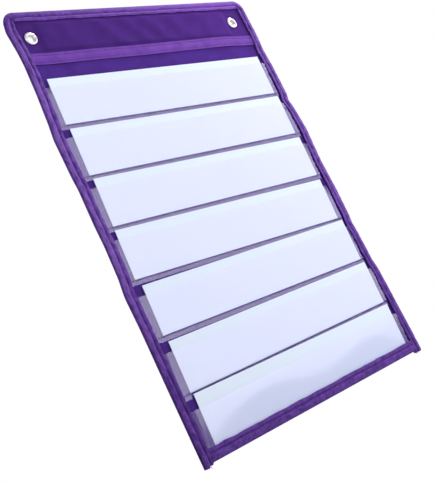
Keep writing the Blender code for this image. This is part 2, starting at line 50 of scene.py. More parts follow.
# The sewn panel's shape
panel = {
    "halfWidth": 165, "height": 455.4, "cornerRadius": 13, "headerMiddle": 29.65,
    "bindingWidth": 11.5, "stitchInset": 7.3, "sheetInset": 2.1,
    "cardHalfWidth": 146, "cardRoom": 7.5, "sway": 3.2, "seamSlant": 2.2, "soften": 1.6,
    "seams": [126.9, 180.7, 234.5, 288.3, 342.1, 395.9, 448.1],
    "filmHeights": [40.7, 40.7, 40.7, 40.7, 40.7, 40.7, 38.0],
    "seamShares": [0.1, 0.05, 0.5, 1, 0.1, -0.4, 0], "topShare": -0.45, "ribbonDrop": 47.8, "hem": 3.8,
}
leftSway = [
    (0.02, 0.1), (0.048, -0.5), (0.1, 0.4), (0.13, 0.65), (0.2, 0.45), (0.27, -0.1), (0.305, -0.6),
    (0.39, -0.25), (0.42, 0.1), (0.5, 0.05), (0.55, 0.3), (0.62, 0.1), (0.655, -0.5), (0.72, -0.15),
    (0.85, 0), (1, 0.25),
]
rightSway = [
    (0.03, -0.1), (0.11, 0), (0.15, -0.6), (0.2, -0.1), (0.286, -0.2), (0.3, -1), (0.33, 0),
    (0.395, 0.65), (0.43, 0.15), (0.48, -0.3), (0.56, -0.05), (0.63, -0.3), (0.655, -0.9),
    (0.68, -0.5), (0.76, -0.3), (0.79, 0.4), (0.93, 0.9), (1, 1),
]
slants = [(0, panel["topShare"]), (panel["ribbonDrop"], 0)]
for seam, height, share in zip(panel["seams"], panel["filmHeights"], panel["seamShares"]):
    slants += [(seam - height, share), (seam + panel["hem"], share)]


def between(table, place):
    if place <= table[0][0]:
        return table[0][1]
    for (low, first), (high, second) in zip(table, table[1:]):
        if place <= high:
            return first + (second - first) * (place - low) / (high - low)
    return table[-1][1]


def softly(table, place, reach):
    return sum(between(table, place + step * reach) for step in (-1, 0, 1)) / 3


def ease(value):
    share = min(max(value, 0), 1)
    return share * share * (3 - 2 * share)


def ripple(place, size, lane=0.0):
    # a steady uneven wave from about -1 to 1, about size long
    return noise.noise(Vector((place / size, lane, 0.37))) * noiseSpan


def sewn(x, depth, drop):
    # where the hand sewing puts a point of the level panel
    share, soft = drop / panel["height"], panel["soften"] / panel["height"]
    leftShare = min(max((-x - panel["cardHalfWidth"]) / panel["cardRoom"], 0), 1)
    rightShare = min(max((x - panel["cardHalfWidth"]) / panel["cardRoom"], 0), 1)
    sideways = 0
    if leftShare:
        sideways = panel["sway"] * leftShare * softly(leftSway, share, soft)
    if rightShare:
        sideways = panel["sway"] * rightShare * softly(rightSway, share, soft)
    down = panel["seamSlant"] * between(slants, drop) * x / panel["halfWidth"]
    return Vector((x + sideways, -depth, panel["headerMiddle"] - drop - down)) * mm


def halfWidthAt(drop, inset):
    # the cloth's half width, less where it rounds the top corners
    radius = panel["cornerRadius"] - inset
    middle = panel["halfWidth"] - panel["cornerRadius"]
    if drop >= panel["cornerRadius"]:
        return middle + radius
    rise = min(panel["cornerRadius"] - drop, radius)
    return middle + math.sqrt(radius * radius - rise * rise)


def steps(low, high, size):
    count = max(1, round(abs(high - low) / size))
    return [low + (high - low) * step / count for step in range(count + 1)]


# Making meshes
def newPiece(name, shape):
    mesh = bpy.data.meshes.new(name)
    shape.to_mesh(mesh)
    shape.free()
    piece = bpy.data.objects.new(name, mesh)
    workshop.objects.link(piece)
    return piece


def settle(piece, sharpAngle=40):
    # modifiers into the mesh, smooth faces, hard rims
    bpy.context.view_layer.update()
    made = bpy.data.meshes.new_from_object(piece.evaluated_get(bpy.context.evaluated_depsgraph_get()))
    made.name = piece.name
    piece.modifiers.clear()
    piece.data = made
    made.polygons.foreach_set("use_smooth", [True] * len(made.polygons))
    made.set_sharp_from_angle(angle=math.radians(sharpAngle))
    return piece


def clothGrid(name, across, down, pointAt, weaveAt, thickness):
    # a sheet through a grid of places, with its flat size as UV, thickened both ways
    shape = bmesh.new()
    weave = shape.loops.layers.uv.new("weave")
    rows = [[shape.verts.new(pointAt(a, d)) for d in down] for a in across]
    for i in range(len(across) - 1):
        for j in range(len(down) - 1):
            corners = [(i, j), (i, j + 1), (i + 1, j + 1), (i + 1, j)]
            face = shape.faces.new([rows[a][b] for a, b in corners])
            for loop, (a, b) in zip(face.loops, corners):
                u, v = weaveAt(across[a], down[b])
                loop[weave].uv = (u * mm, v * mm)
    piece = newPiece(name, shape)
    solid = piece.modifiers.new("thickness", "SOLIDIFY")
    solid.thickness = thickness * mm
    solid.offset = 0
    return piece


def punch(piece, centres, radius):
    # opens round holes in a flat grid and draws their rims to a circle
    shape = bmesh.new()
    shape.from_mesh(piece.data)
    for centre in centres:
        near = [f for f in shape.faces if (f.calc_center_median() - centre).xz.length < radius * mm * 1.02]
        bmesh.ops.delete(shape, geom=near, context="FACES")
        rim = [v for v in shape.verts if v.is_boundary and (v.co - centre).xz.length < radius * mm * 2]
        for vertex in rim:
            away = Vector((vertex.co.x - centre.x, vertex.co.z - centre.z)).normalized() * radius * mm
            vertex.co.x, vertex.co.z = centre.x + away.x, centre.z + away.y
    shape.to_mesh(piece.data)
    shape.free()


def turned(name, profile, centre, count):
    # a closed profile of radius and depth, turned about an axis square to the panel
    shape = bmesh.new()
    rings = []
    for step in range(count):
        angle = 2 * math.pi * step / count
        rings.append([
            shape.verts.new(
                centre + Vector((radius * math.cos(angle), -depth, radius * math.sin(angle))) * mm)
            for radius, depth in profile])
    for a, b in zip(rings, rings[1:] + rings[:1]):
        for k in range(len(profile)):
            n = (k + 1) % len(profile)
            shape.faces.new((a[k], b[k], b[n], a[n]))
    bmesh.ops.recalc_face_normals(shape, faces=shape.faces)
    return settle(newPiece(name, shape), sharpAngle=50)


# Materials
def colour(text):
    channels = [int(text[k:k + 2], 16) / 255 for k in (1, 3, 5)]
    return tuple(c / 12.92 if c <= 0.04045 else ((c + 0.055) / 1.055) ** 2.4 for c in channels) + (1.0,)


def addNode(tree, kind, settings=None, **sockets):
    # a node with its settings; a socket takes a value or another node's output
    node = tree.nodes.new(kind)
    for name, value in (settings or {}).items():
        setattr(node, name, value)
    for name, value in sockets.items():
        socket = node.inputs[int(name[1:])] if name[1:].isdigit() else node.inputs[name.replace("_", " ")]
        if isinstance(value, bpy.types.NodeSocket):
            tree.links.new(value, socket)
        else:
            socket.default_value = value
    return node


def newMaterial(name):
    material = bpy.data.materials.new(name)
    material.use_nodes = True
    tree = material.node_tree
    tree.nodes.clear()
    return material, tree, addNode(tree, "ShaderNodeOutputMaterial")


def shadeWith(tree, output, shader):
    tree.links.new(shader.outputs[0], output.inputs["Surface"])


def sized(tree, source, along, across, turn=0.0):
    # texture coordinates in which one unit is along by across mm, turned by an angle first
    swung = addNode(tree, "ShaderNodeMapping", Vector=source, Rotation=(0, 0, turn)).outputs["Vector"]
    scale = (1 / (along * mm), 1 / (across * mm), 1 / (across * mm))
    return addNode(tree, "ShaderNodeMapping", Vector=swung, Scale=scale).outputs["Vector"]


def cloudy(tree, place, detail, roughness=0.5):
    # an uneven value around 0.5
    return addNode(tree, "ShaderNodeTexNoise", Vector=place, Scale=1.0, Detail=detail,
                   Roughness=roughness).outputs["Fac"]


def ranged(tree, value, low, high):
    # a value from 0 to 1, spread from low to high
    return addNode(tree, "ShaderNodeMapRange", Value=value, To_Min=low, To_Max=high).outputs[0]


def shareOf(tree, value, start, end):
    # how far a value is on its way from start to end, from 0 to 1
    return addNode(tree, "ShaderNodeMapRange", Value=value, From_Min=start, From_Max=end).outputs[0]


def mixed(tree, share, first, second):
    return addNode(tree, "ShaderNodeMix", {"data_type": "RGBA"}, Factor=share, i6=first, i7=second).outputs[2]


def figured(tree, operation, *values, clamp=False):
    sockets = {f"i{place}": value for place, value in enumerate(values)}
    return addNode(tree, "ShaderNodeMath", {"operation": operation, "use_clamp": clamp}, **sockets).outputs[0]


def bumped(tree, height, strength, depth):
    # a surface that stands up to depth mm proud
    return addNode(tree, "ShaderNodeBump", Strength=strength, Distance=depth * mm, Height=height).outputs[0]


def wovenCloth(name, look):
    # Plain weave: threads over and under, uneven dye in long slubs, and a faint nap that
    # lightens it where it is seen and lit at a slant.
    material, tree, output = newMaterial(name)
    weave = addNode(tree, "ShaderNodeUVMap", {"uv_map": "weave"}).outputs["UV"]
    slub = cloudy(tree, sized(tree, weave, *look["slub"], look["bias"]), 3.0, 0.6)
    mottle = cloudy(tree, sized(tree, weave, look["mottle"], look["mottle"]), 2.0)
    slubShare = 0.6
    cloud = figured(tree, "ADD", figured(tree, "MULTIPLY_ADD", slub, slubShare, -slubShare / 2), mottle)
    dye = shareOf(tree, cloud, 0.5 - look["evenness"], 0.5 + look["evenness"])
    bandPerUnit = math.pi / 10
    threads = [
        addNode(tree, "ShaderNodeTexWave", {"bands_direction": way},
                Vector=sized(tree, weave, look["thread"], look["thread"]),
                Scale=bandPerUnit, Distortion=0.4, Detail=1.0).outputs["Fac"]
        for way in ("X", "Y")]
    crossing = figured(tree, "MULTIPLY", *threads)
    shaded = figured(tree, "MULTIPLY_ADD", crossing, look["threadShade"], dye, clamp=True)
    base = mixed(tree, shaded, colour(look["dark"]), colour(look["light"]))
    if "pale" in look:
        # the piece's painted shading makes it paler where light is painted and darker where shade and streaks
        # are painted (1 all pale, 0.5 as dyed, 0 all deep), and its painted sheen brightens it
        paintedShadingAndStreaks = addNode(tree, "ShaderNodeAttribute", {"attribute_name": "paintedShadingAndStreaks"}).outputs["Fac"]
        paintedSheen = addNode(tree, "ShaderNodeAttribute", {"attribute_name": "paintedSheen"}).outputs["Fac"]
        # the two attributes carry painted light, painted shade with streaks, and a painted sheen onto the
        # dyed colour
        changes = ((paintedShadingAndStreaks, 0.5, 1.0, "pale"), (paintedSheen, 0.0, 1.0, "paintedSheen"), (paintedShadingAndStreaks, 0.5, 0.0, "shadeAndStreaks"))
        for value, start, end, key in changes:
            base = mixed(tree, shareOf(tree, value, start, end), base, colour(look[key]))
    rough = ranged(tree, mottle, look["rough"] - 0.06, look["rough"] + 0.06)
    height = figured(tree, "MULTIPLY_ADD", slub, slubShare, crossing)
    shader = addNode(
        tree, "ShaderNodeBsdfPrincipled", Base_Color=base, Roughness=rough,
        Normal=bumped(tree, height, look["bump"], 0.2), IOR=1.5, Specular_IOR_Level=look["gloss"],
        Sheen_Weight=look["nap"], Sheen_Roughness=look["napSpread"], Sheen_Tint=colour(look["napTint"]))
    shadeWith(tree, output, shader)
    return material


def clearVinyl(name, look):
    # Pressed clear vinyl sheet: see-through, a thin blue haze, and a smooth face that mirrors the
    # softbox. Each wall of the film covers little, so its mirror is strong for what it covers.
    material, tree, output = newMaterial(name)
    material.surface_render_method = "BLENDED"
    place = addNode(tree, "ShaderNodeTexCoord").outputs["Object"]
    slack = cloudy(tree, sized(tree, place, 60, 26), 1.0)
    scuff = cloudy(tree, sized(tree, place, 9, 1.6), 4.0)
    rough = ranged(tree, scuff, look["rough"] * 0.8, look["rough"] * 1.25)
    haze = mixed(tree, scuff, colour(look["haze"]), colour(look["milk"]))
    shader = addNode(
        tree, "ShaderNodeBsdfPrincipled", Base_Color=haze, Roughness=rough,
        Normal=bumped(tree, slack, look["slack"], 1.0), Alpha=look["cover"], IOR=look["mirror"],
        Specular_IOR_Level=1.0, Specular_Tint=colour(look["shine"]))
    shadeWith(tree, output, shader)
    return material


def cardStock(name, look):
    # Coated white card: nearly even, a slight cloud in the coating and a soft low gloss.
    material, tree, output = newMaterial(name)
    place = addNode(tree, "ShaderNodeTexCoord").outputs["Object"]
    cloud = cloudy(tree, sized(tree, place, 22, 22), 2.0)
    fibre = cloudy(tree, sized(tree, place, 1.2, 0.5), 3.0)
    base = mixed(tree, cloud, colour(look["cool"]), colour(look["warm"]))
    rough = ranged(tree, fibre, look["rough"] - 0.05, look["rough"] + 0.05)
    shader = addNode(tree, "ShaderNodeBsdfPrincipled", Base_Color=base, Roughness=rough,
                     Normal=bumped(tree, fibre, 0.08, 0.05), IOR=1.5, Specular_IOR_Level=look["gloss"])
    shadeWith(tree, output, shader)
    return material


def platedNickel(name, look):
    # Nickel plate over pressed brass: bright and slightly warm, softened by barrel polishing.
    material, tree, output = newMaterial(name)
    place = addNode(tree, "ShaderNodeTexCoord").outputs["Object"]
    polish = cloudy(tree, sized(tree, place, 0.8, 0.8), 3.0)
    base = mixed(tree, polish, colour(look["dull"]), colour(look["bright"]))
    rough = ranged(tree, polish, look["rough"] - 0.05, look["rough"] + 0.07)
    shader = addNode(tree, "ShaderNodeBsdfPrincipled", Base_Color=base, Metallic=1.0, Roughness=rough,
                     Normal=bumped(tree, polish, 0.15, 0.05))
    shadeWith(tree, output, shader)
    return material


def plainRubber(name, look):
    # Flexible magnet: matt black rubber filled with ferrite, with faint calender lines.
    material, tree, output = newMaterial(name)
    place = addNode(tree, "ShaderNodeTexCoord").outputs["Object"]
    grain = cloudy(tree, sized(tree, place, 30, 0.6), 2.0)
    base = mixed(tree, grain, colour(look["dark"]), colour(look["light"]))
    shader = addNode(tree, "ShaderNodeBsdfPrincipled", Base_Color=base, Roughness=look["rough"],
                     Normal=bumped(tree, grain, 0.2, 0.1))
    shadeWith(tree, output, shader)
    return material


# Thread pitches are drawn about twice as coarse as the real cloth's, so that they just show.
finishes = {
    "backing": wovenCloth("wovenPolyesterBacking", {
        "dark": "#321d5d", "light": "#4a318a", "evenness": 0.5, "mottle": 24, "slub": (16, 1.8), "bias": 0.0,
        "thread": 0.9, "threadShade": 0.25, "rough": 0.6, "bump": 0.5, "gloss": 0.0,
        "nap": 0.5, "napSpread": 0.6, "napTint": "#a868ff"}),
    "header": wovenCloth("wovenPolyesterHeader", {
        "dark": "#1d0c3e", "light": "#352061", "evenness": 0.45, "mottle": 20, "slub": (22, 1.6), "bias": 0.0,
        "thread": 0.9, "threadShade": 0.25, "rough": 0.52, "bump": 0.45, "gloss": 0.0,
        "nap": 0.8, "napSpread": 0.6, "napTint": "#a868ff"}),
    "tape": wovenCloth("wovenPolypropyleneTape", {
        "dark": "#341c68", "light": "#673f9c", "evenness": 0.2, "mottle": 7, "slub": (5.0, 1.3), "bias": 0.65,
        # the pale colour is painted light, the deep one painted shade and streaks, and the violet one a
        # painted sheen
        "pale": "#9070ba", "shadeAndStreaks": "#160a32", "paintedSheen": "#a85cf0",
        "thread": 1.1, "threadShade": 0.3, "rough": 0.5, "bump": 0.8, "gloss": 0.08,
        "nap": 0.6, "napSpread": 0.6, "napTint": "#b070ff"}),
    "ribbon": wovenCloth("ribbedPolyesterRibbon", {
        "dark": "#4e2784", "light": "#7140a6", "evenness": 0.35, "mottle": 16, "slub": (9, 0.9), "bias": 0.0,
        "thread": 1.0, "threadShade": 0.3, "rough": 0.5, "bump": 0.5, "gloss": 0.06,
        "nap": 0.5, "napSpread": 0.6, "napTint": "#b070ff"}),
    "thread": wovenCloth("twistedPolyesterThread", {
        "dark": "#2c1458", "light": "#482884", "evenness": 0.4, "mottle": 6, "slub": (1, 0.4), "bias": 0.0,
        "thread": 0.5, "threadShade": 0.3, "rough": 0.6, "bump": 0.4, "gloss": 0.2,
        "nap": 0.1, "napSpread": 0.4, "napTint": "#c4a8f0"}),
    "vinyl": clearVinyl("pressedClearVinyl", {
        "haze": "#3a36c0", "milk": "#5450da", "cover": 0.104, "shine": "#fdf6ff", "mirror": 2.77,
        "rough": 0.13, "slack": 0.12}),
    "card": cardStock("coatedWhiteCard", {"cool": "#deebfd", "warm": "#e3eefd", "rough": 0.5, "gloss": 0.3}),
    "nickel": platedNickel("nickelPlatedBrass", {"dull": "#a09da2", "bright": "#cdc9ce", "rough": 0.26}),
    "magnet": plainRubber("flexibleMagnetRubber", {"dark": "#161618", "light": "#26262a", "rough": 0.62}),
}
print("materials made")


def dress(piece, finish, body="organizer", stands=()):
    piece.data.materials.clear()
    piece.data.materials.append(finishes[finish])
    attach(piece, body)
    if stands:
        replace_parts(piece, *stands)
    return piece


# Backing and header cloth
magnetSleeve = {"left": -128.4, "right": 119.9, "top": 16.1, "bottom": 43.2, "endReach": 9, "edgeReach": 4.6}
eyelets = {"left": (-142.7, 31.0), "right": (134.2, 29.3), "clothHole": 4.5}
cloth = {
    "backingDepth": 1.05, "backingBehindMagnet": 0.25, "backingThickness": 0.5, "backingCell": 3.4,
    "backingWave": 0.12, "backingLow": 453.3,
    "headerDepth": 1.8, "headerThickness": 0.4, "headerCell": 1.3, "headerLow": 58.3, "overMagnet": 2.6,
    "headerWave": 0.1,
    # how long its waves are along x and down, and how far the header's lean
    "backingWaveSize": (34, 30), "headerWaveSize": (9, 16), "headerWaveLean": 0.7,
    # the ring that the eyelet presses into the header: depth, radius, half width
    "dimple": 0.45, "dimpleRadius": 7.4, "dimpleHalf": 1.2,
    # soft folds over the magnet: x at mid height, lean, half width, rise
    "folds": [(-98, 0.5, 13, 0.35), (-47, 0.8, 10, 0.6), (-12, 0.8, 9, 0.35), (17, 0.75, 10, 0.55),
              (50, 0.8, 12, 0.45), (92, 0.3, 13, 0.4), (-122, 0.2, 10, 0.25)],
}


def overSleeve(x, drop):
    pastEnd = max(magnetSleeve["left"] - x, x - magnetSleeve["right"]) / magnetSleeve["endReach"]
    pastEdge = max(magnetSleeve["top"] - drop, drop - magnetSleeve["bottom"]) / magnetSleeve["edgeReach"]
    return ease(1 - pastEnd) * ease(1 - pastEdge)


def backingMiddle(x, drop):
    clear, least = 1 - overSleeve(x, drop), cloth["backingBehindMagnet"]
    along, across = cloth["backingWaveSize"]
    wave = cloth["backingWave"] * ripple(x, along, drop / across) * clear
    return least + (cloth["backingDepth"] - least) * clear + wave


def headerMiddle(x, drop):
    lift = cloth["overMagnet"] - cloth["headerDepth"]
    for middle, lean, half, rise in cloth["folds"]:
        away = (x - middle - lean * (drop - panel["headerMiddle"])) / half
        lift += rise * math.exp(-away * away)
    along, across = cloth["headerWaveSize"]
    small = cloth["headerWave"] * ripple(x + cloth["headerWaveLean"] * drop, along, drop / across)
    dent = 0
    for middle, low in (eyelets["left"], eyelets["right"]):
        fromRing = math.hypot(x - middle, drop - low) - cloth["dimpleRadius"]
        dent += math.exp(-(fromRing / cloth["dimpleHalf"]) ** 2)
    return cloth["headerDepth"] + (lift + small) * overSleeve(x, drop) - cloth["dimple"] * dent


eyeletCentres = [sewn(x, 0, drop) for x, drop in (eyelets["left"], eyelets["right"])]


def makeSheet(name, low, cell, middleAt, thickness):
    def across(share, drop):
        return share * halfWidthAt(drop, panel["sheetInset"])

    piece = clothGrid(
        name, steps(-1, 1, cell / panel["halfWidth"]), steps(panel["sheetInset"], low, cell),
        lambda share, drop: sewn(across(share, drop), middleAt(across(share, drop), drop), drop),
        lambda share, drop: (across(share, drop), -drop), thickness)
    punch(piece, eyeletCentres, eyelets["clothHole"])
    return settle(piece)


backCloth = makeSheet(
    "backCloth", cloth["backingLow"], cloth["backingCell"], backingMiddle, cloth["backingThickness"])
dress(backCloth, "backing", stands=["back_panel"])
headerCloth = makeSheet(
    "headerCloth", cloth["headerLow"], cloth["headerCell"], headerMiddle, cloth["headerThickness"])
dress(headerCloth, "header", stands=["header_panel"])
print("cloth made")

# Ribbon along the header's foot
ribbon = {
    "reach": 160.3, "cell": 2.4, "height": 12.5, "depth": 2.42, "thickness": 0.36, "stitchInset": 2.6,
    "pillow": 0.22, "edgeWave": 0.1, "edgeWaveSize": (7, 9), "arcBlend": 8,
    "rows": [0, 0.5, 1.5, 2.6, 3.6, 5, 6.25, 7.5, 8.9, 9.9, 11, 12, 12.5],
    # how far the sewing lets it sag or pulls it up, by x
    "arc": [(-160, 0), (-149, 0), (-135, 0.7), (-105, 0.45), (-75, 0.05), (-45, 0.2), (-15, 0.1), (15, -0.3),
            (45, -0.7), (75, -0.95), (95, -1.3), (115, -1.2), (130, -0.3), (140, 0.3), (147, 0.35), (160, 0)],
}


def ribbonDrop(x, across):
    return panel["ribbonDrop"] + across + softly(ribbon["arc"], x, ribbon["arcBlend"])


def ribbonMiddle(x, across):
    inner = (across - ribbon["stitchInset"]) / (ribbon["height"] - 2 * ribbon["stitchInset"])
    rise = ribbon["pillow"] * math.sin(math.pi * inner) if 0 < inner < 1 else 0
    size, lane = ribbon["edgeWaveSize"]
    edge = ribbon["edgeWave"] * ripple(x, size, across / lane) * (abs(inner - 0.5) + 0.3)
    return ribbon["depth"] + rise + edge


headerRibbon = clothGrid(
    "headerRibbon", steps(-ribbon["reach"], ribbon["reach"], ribbon["cell"]), ribbon["rows"],
    lambda x, across: sewn(x, ribbonMiddle(x, across), ribbonDrop(x, across)),
    lambda x, across: (x, -across), ribbon["thickness"])
dress(settle(headerRibbon), "ribbon", stands=["header_ribbon"])
print("ribbon made")

# Folded binding tape
tape = {
    "thickness": 0.5, "front": 3.55, "pillow": 0.5, "lip": 0.42, "groove": 0.5, "insideShare": 0.9,
    "cell": 1.5, "cornerStep": 0.1, "leftTab": 3.1, "rightTab": 2.8, "bottomReach": 153.4,
    "backRows": (9.4, 4.6), "frontFrom": 1.2, "grooveHalf": 0.7, "grooveReach": 2,
    # the section's steps round the fold, over the pillow and over the lip, and the lip's fullness
    "foldSteps": 10, "pillowSteps": 8, "lipSteps": 6, "fullness": 0.8, "lipTurn": 0.93,
    # how strong each kind of unevenness is
    "puff": 0.34, "finePuff": 0.6, "lipPuff": 0.8, "crease": 0.2, "creaseLean": 1.4, "wander": 0.45,
    "seamWander": 0.45, "topCalm": 0.35, "cornerPleat": 0.7, "pleatTurn": 1.9,
    # the length of its waves, and its own lane of noise
    "waves": {"puff": (10, 0), "finePuff": (4.5, 3), "lip": (8, 7), "crease": (3.4, 11), "wander": (13, 17),
              "groove": (12, 23)},
    "edgeSeed": 2.3, "bottomSeed": 31.7,
    # the cut ends: pinched flat, and rounded to two lobes
    "pinch": 1.0, "pinchReach": 3, "pinchDeep": 0.22, "lobeRound": 1.3,
    "lipShort": {"left": 1.1, "right": -0.2},
    # how far the folded edge is drawn in at each side, and let out along the foot
    "drawnIn": {"left": 0.5, "right": 0.2, "top": 0.6, "foot": -0.5},
    # the short creases at each pocket seam
    "pucker": 0.22, "puckerPitch": 3.2, "puckerReach": 7, "puckerDrop": 2, "puckerLean": 0.35,
    "puckerFrom": 3, "puckerRamp": 6,
}
tapeTone = {
    # how much painted light pales the face and painted shade darkens it, by drop down a side, by x along the
    # top, and along the foot
    "paintedLightLeft": [(0, 0.05), (40, 0.3), (90, 0.42), (270, 0.5), (340, 0.24), (400, 0.02), (455, -0.1)],
    "paintedLightRight": [(0, 0), (30, 0.12), (70, 0.26), (270, 0.38), (340, 0.12), (400, 0), (455, -0.2)],
    "paintedLightTop": [(-150, -0.08), (0, 0), (150, 0)], "paintedShadeFoot": -0.16,
    # how strong the painted sheen is, by x along the top
    "paintedSheenTop": [(-150, 0), (0, 0.08), (120, 0.24), (152, 0.15)],
    # how far round a corner the top's painted light and sheen begin
    "topFrom": 0.7,
    # how dark it is: painted shade at the folded edge, in the groove, in a pucker and along the lip, and in a
    # streak
    "edgePaintedShade": 0.6, "edgeHalf": 1.2, "groovePaintedShade": 0.5, "puckerPaintedShade": 0.25, "streakDeep": 0.5,
    "streak": (6.0, 1.1), "lipPaintedShade": {"left": 0.34, "right": 0.1}, "lipRamp": 2.5,
}
foldRadius = tape["front"] / 2
# a place along the tape: level x and drop of its edge, the way inward, the length so far, and how
# much it is pinched at a cut end or gathered round a corner
Station = namedtuple("Station", "x drop inX inDrop length pinch corner")


def tapeSection():
    # outer and inner points round the fold, as inset and depth, from the back lip to the front
    # lip, with how much the pillow and the lip swell there
    thickness, front, stitchInset = tape["thickness"], tape["front"], panel["stitchInset"]
    farRow, nearRow = tape["backRows"]
    backInsets = (panel["bindingWidth"], farRow, stitchInset, nearRow)
    pairs = [((inset, 0), (inset, thickness), 0, 0) for inset in backInsets]
    inside = foldRadius - thickness
    for step in range(tape["foldSteps"] + 1):
        angle = math.pi * (1.5 - step / tape["foldSteps"])
        outer = (foldRadius + foldRadius * math.cos(angle), foldRadius + foldRadius * math.sin(angle))
        inner = (foldRadius + inside * math.cos(angle), foldRadius + inside * math.sin(angle))
        pairs.append((outer, inner, 0, 0))
    count = tape["pillowSteps"]
    for step in range(1, count + 1):
        inset = foldRadius + (stitchInset - foldRadius) * step / count
        swell = math.sin(math.pi * step / count) ** tape["fullness"] if step < count else 0
        pairs.append(((inset, front), (inset, front - thickness), swell, 0))
    count = tape["lipSteps"]
    for step in range(1, count + 1):
        inset = stitchInset + (panel["bindingWidth"] - stitchInset) * step / count
        swell = math.sin(math.pi * (step / count) ** tape["fullness"] * tape["lipTurn"])
        pairs.append(((inset, front), (inset, front - thickness), 0, swell))
    return pairs


def lobe(inset, side):
    # how much shorter the cut end is here: a round end to the pillow, a smaller one to the lip
    groove = panel["stitchInset"]
    if inset <= groove:
        middle, half, least = groove / 2, groove / 2, 0
    else:
        middle, half = (groove + panel["bindingWidth"]) / 2, (panel["bindingWidth"] - groove) / 2
        least = tape["lipShort"][side]
    away = min(abs(inset - middle) / half, 1)
    return least + tape["lobeRound"] * (1 - math.sqrt(1 - away ** 3))


# painted light and shade: paler up the sides, darker towards their lower ends, along the foot and at the
# top's left end
def paintedLightAndShadeAt(at):
    if at.inDrop < 0:
        return tapeTone["paintedShadeFoot"]
    if at.inDrop > tapeTone["topFrom"]:
        return between(tapeTone["paintedLightTop"], at.x)
    return between(tapeTone["paintedLightLeft"] if at.inX > 0 else tapeTone["paintedLightRight"], at.drop)


def streaked(length, inset, seed):
    # broken dark lines that the loom and the sewing leave along the tape, 0 to 1
    along, across = tapeTone["streak"]
    return max(noise.noise(Vector((length / along, inset / across, seed))) * noiseSpan, 0)


def puckered(at, inset):
    # each pocket seam gathers the side tapes into short creases, most at the lip: -1 to 1
    if at.inDrop:
        return 0
    near = sum(math.exp(-((at.drop - seam - tape["puckerDrop"]) / tape["puckerReach"]) ** 2)
               for seam in panel["seams"][:-1])
    turn = 2 * math.pi * (at.drop + tape["puckerLean"] * inset) / tape["puckerPitch"]
    return near * ease((inset - tape["puckerFrom"]) / tape["puckerRamp"]) * math.sin(turn)


def uneven(kind, length, seed):
    size, lane = tape["waves"][kind]
    return ripple(length, size, seed + lane)


def grooveShift(length, seed):
    return tape["seamWander"] * uneven("groove", length, seed)


def trimmed(at):
    # how far the folded edge is drawn in
    drawn = tape["drawnIn"]
    sideways = drawn["left"] if at.inX > 0 else -drawn["right"]
    down = drawn["top"] if at.inDrop > 0 else -drawn["foot"]
    return sideways * at.inX + down * at.inDrop


def tapePoint(at, pair, face, seed):
    # where one point of the section is sewn, and how much painted light, painted shade, streaks and painted
    # sheen it has there
    (inset, depth), pillow, lip = pair[face], pair[2], pair[3]
    side = "left" if at.x < 0 else "right"
    fromStitch = inset - panel["stitchInset"]
    past = max(fromStitch, 0) / (panel["bindingWidth"] - panel["stitchInset"])
    calm = 1 - (1 - tape["topCalm"]) * ease(at.inDrop)
    front = ease((depth - tape["frontFrom"]) / tape["frontFrom"])
    nearStitch = math.exp(-(fromStitch / tape["grooveHalf"]) ** 2) * front
    gathered = puckered(at, inset) * front

    puffs = uneven("puff", at.length, seed) + tape["finePuff"] * uneven("finePuff", at.length, seed)
    puff = tape["pillow"] + calm * tape["puff"] * puffs
    lipRise = tape["lip"] + tape["lipPuff"] * calm * tape["puff"] * uneven("lip", at.length, seed)
    swell = pillow * puff + lip * lipRise - tape["groove"] * nearStitch
    depth += swell * (tape["insideShare"] if face else 1)
    depth += calm * tape["crease"] * front * uneven("crease", at.length + tape["creaseLean"] * inset, seed)
    depth += tape["pucker"] * gathered
    pleat = math.sin(at.length * tape["pleatTurn"])
    depth += at.corner * tape["cornerPleat"] * front * (inset / panel["bindingWidth"]) * pleat
    depth = depth * (1 - tape["pinchDeep"] * at.pinch * ease((depth - 1) / 2))

    reach = inset + trimmed(at) * max(1 - inset / panel["stitchInset"], 0)
    reach += past * tape["wander"] * uneven("wander", at.length, seed) * front
    reach += math.exp(-(fromStitch / tape["grooveReach"]) ** 2) * grooveShift(at.length, seed) * front
    short = at.pinch * lobe(inset, side)
    place = sewn(at.x + at.inX * reach, depth, at.drop + at.inDrop * reach - short)

    # painted shade at the folded edge, in the groove, in the puckers' hollows and along the side lips, with
    # dark streaks
    shadeAndStreaks = tapeTone["edgePaintedShade"] * math.exp(-(inset / tapeTone["edgeHalf"]) ** 2)
    shadeAndStreaks += calm * tapeTone["groovePaintedShade"] * nearStitch + tapeTone["puckerPaintedShade"] * max(-gathered, 0)
    shadeAndStreaks += calm * tapeTone["streakDeep"] * front * streaked(at.length, inset, seed)
    if not at.inDrop:
        shadeAndStreaks += tapeTone["lipPaintedShade"][side] * front * ease(past * tapeTone["lipRamp"])
    # a painted sheen along the top, strongest towards its right end
    paintedSheen = between(tapeTone["paintedSheenTop"], at.x) if at.inDrop > tapeTone["topFrom"] else 0
    return place, 0.5 + (paintedLightAndShadeAt(at) - shadeAndStreaks) / 2, paintedSheen


